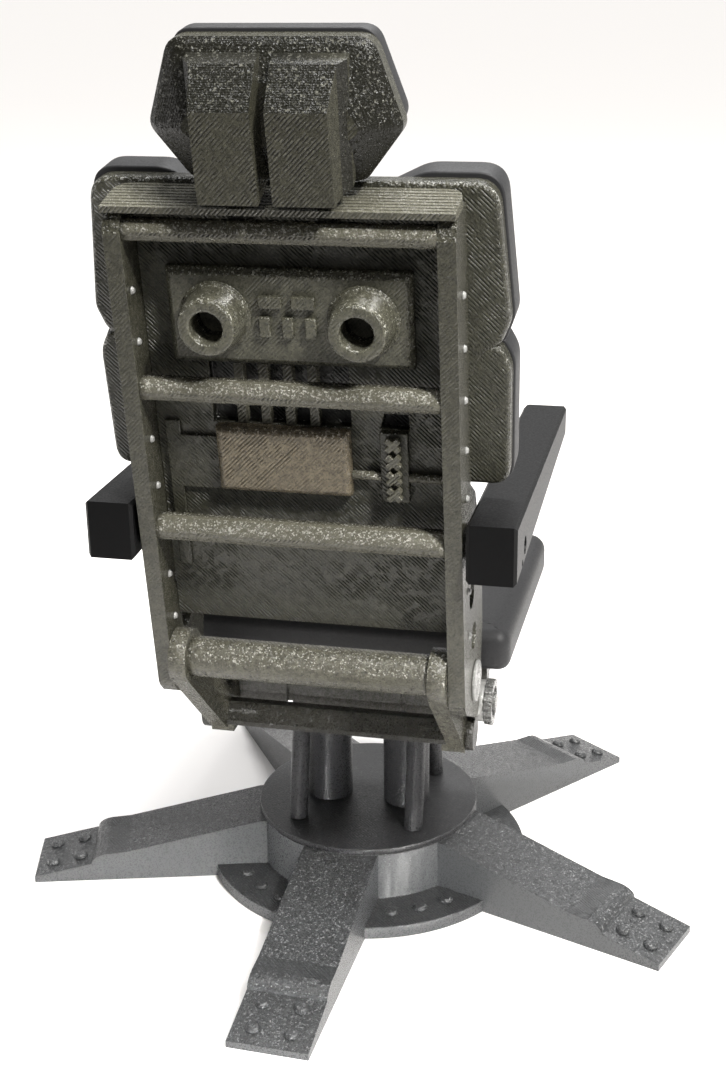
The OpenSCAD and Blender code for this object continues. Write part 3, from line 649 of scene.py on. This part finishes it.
def make_cushions():
    """The back cushions, the lumbar pad, the headrest's pad and the seat cushion."""
    def ahead_of(n):
        return lambda x, a, height: back(x, n - height, a)

    upright = [((s * CHANNEL_X, 20), (s * CHANNEL_X, 90), 0.55, 0.9) for s in (-1, 1)]
    moulded("upper_back_cushion", "upper_cushion", upper_cushion_outline(),
            ahead_of(SHELL_BACK), channels=upright, **CUSHION)
    moulded("lower_back_cushion", "lower_cushion", lower_outline(CUSHION_SPREAD),
            ahead_of(SHELL_BACK), channels=upright, **CUSHION)
    moulded("lumbar_cushion", "lumbar_pad", mirrored(
        [(0, 34.1, 0), (20.6, 34.1, 2), (20.6, 13.7, 2), (0, 13.7, 0)]),
        ahead_of(SHELL_REAR), thickness=4.3, edge=1.4, low_edge=0.3, crown=1.0,
        channels=[((-18, a), (18, a), 0.5, 0.8) for a in (18.8, 23.9, 29.0)])
    moulded("headrest_cushion", "headrest_pad", mirrored(
        [(0, 97.4, 0), (12.9, 97.4, 2), (16.6, 86.6, 1.4), (11.4, 80.0, 1), (0, 80.0, 0)]),
        ahead_of(HEADREST_REAR), thickness=4.2, edge=1.6, low_edge=0.2, crown=0.8,
        channels=[((0, 70), (0, 110), 0.45, 0.7)], welt=0.2)

    low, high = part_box("seat_cushion")
    half, front, rear, bottom, top = high.x / MM, low.y / MM, high.y / MM, low.z / MM, high.z / MM
    crown, fold = 0.9, front + 13                  # the fold is the channel across the thighs
    moulded("seat_cushion_moulded", "seat_cushion", mirrored(
        [(0, rear, 0), (half - 0.4, rear, 2.4), (half, front, 4), (0, front, 0)]),
        lambda x, y, height: Vector((x, y, bottom + height)) * MM,
        thickness=top - bottom - crown, edge=2.4, low_edge=1.5, crown=crown,
        channels=[((s * CHANNEL_X, front), (s * CHANNEL_X, rear), 0.55, 0.9) for s in (-1, 1)] +
                 [((-half, fold), (half, fold), 0.55, 0.7)],
        welt=0.25)


# ---- round bars
BAR_STEPS = 40
FULL_TURN = np.linspace(0, 2 * math.pi, 96, endpoint=False).tolist()
CROSSBARS = (("crossbar_top", 72.3, 3.0), ("crossbar_middle", 49.4, 3.3), ("crossbar_bottom", 27.4, 3.8))


def round_bar(name, node, centre, out, across, profile):
    """A bar along X over the node's own width; profile goes once round in (outward, across) millimetres."""
    low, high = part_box(node)
    rings = [[centre + Vector((x, 0, 0)) + (o * out + c * across) * MM for o, c in profile]
             for x in np.linspace(low.x, high.x, BAR_STEPS).tolist()]
    verts, faces = loft(rings)
    new_piece(name, verts, faces, node)


def half_round(h):
    """Profile of a crossbar: round to the rear, with a crease below the middle and a straight lower face."""
    r = h / 2
    setback, depth = 0.1, 1.3                      # ahead of the rails' rear faces, and of the half circle
    crease = 0.12
    turns = np.linspace(math.pi / 2, -0.42, 22).tolist()
    arc = [(-r - setback + r * math.cos(t), r * math.sin(t)) for t in turns]
    o, c = arc[-1]
    lower = [(o - 0.07, c - 0.03), (o - crease, c - crease)]
    lower += [(o - crease - (o + r + 2 * setback) * t ** 2.2, c - crease - (r + c - crease) * t)
              for t in (0.25, 0.5, 0.75, 0.9, 1.0)]
    return [(-r - depth, -r), (-r - depth, r)] + arc + lower


def make_bars():
    """The three crossbars, and the tube at the foot of the backrest."""
    for node, a, h in CROSSBARS:
        round_bar(node + "_moulded", node, back(0, 0, a), BACK_REAR, BACK_UP, half_round(h))
    low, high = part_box("pivot_tube")
    r = (high.z - low.z) / 2 / MM
    ring = [(r * math.cos(t), r * math.sin(t)) for t in FULL_TURN]
    round_bar("pivot_tube_round", "pivot_tube", Vector((0, (low.y + high.y) / 2, (low.z + high.z) / 2)),
              Vector((0, 1, 0)), Vector((0, 0, 1)), ring)


# ---- socket barrels
SOCKETS = ((10.1, "socket_left"), (-10.5, "socket_right"))
SOCKET_A = 59.95                                   # height of the barrels' axes up the rails
BOX_FACE = -3.5                                    # n of the equipment box's rear face


def make_sockets():
    """Both barrels, turned from one section of (radius, height off the box's face)."""
    collar = [(4.95, 0), (5.0, 0.1), (5.0, 0.28), (4.93, 0.36), (4.8, 0.38), (4.76, 0.42), (4.74, 0.6),
              (4.68, 0.66), (4.62, 0.68), (4.6, 1.2)]
    barrel = [(4.6 - 0.5 * t, 1.2 + 3.2 * t) for t in np.linspace(0, 1, 10)[1:].tolist()]
    lip = [(4.0, 4.65), (3.92, 4.84), (3.76, 4.96), (3.55, 5.0), (2.62, 5.0), (2.42, 4.95), (2.33, 4.82),
           (2.3, 4.6), (2.3, 2.0), (2.3, 0.02)]
    for x, node in SOCKETS:
        rings = []
        for turn in FULL_TURN:
            rings.append([back(x + r * math.cos(turn), BOX_FACE + n, SOCKET_A + r * math.sin(turn))
                          for r, n in collar + barrel + lip])
        verts, faces = loft(rings + [rings[0]], closed_ends=False)
        count = len(rings) * len(rings[0])         # the closing ring's points are the first ring's
        new_piece(node + "_barrel", verts[:count], [tuple(v % count for v in face) for face in faces], node)


bpy.context.scene.view_settings.view_transform = "Standard"
bpy.context.scene.view_settings.look = "None"
make_camera()
make_room()
make_lights()
make_floor()
MATERIALS = make_materials()
dress_cad_nodes()
make_shells()
make_cushions()
make_bars()
make_sockets()
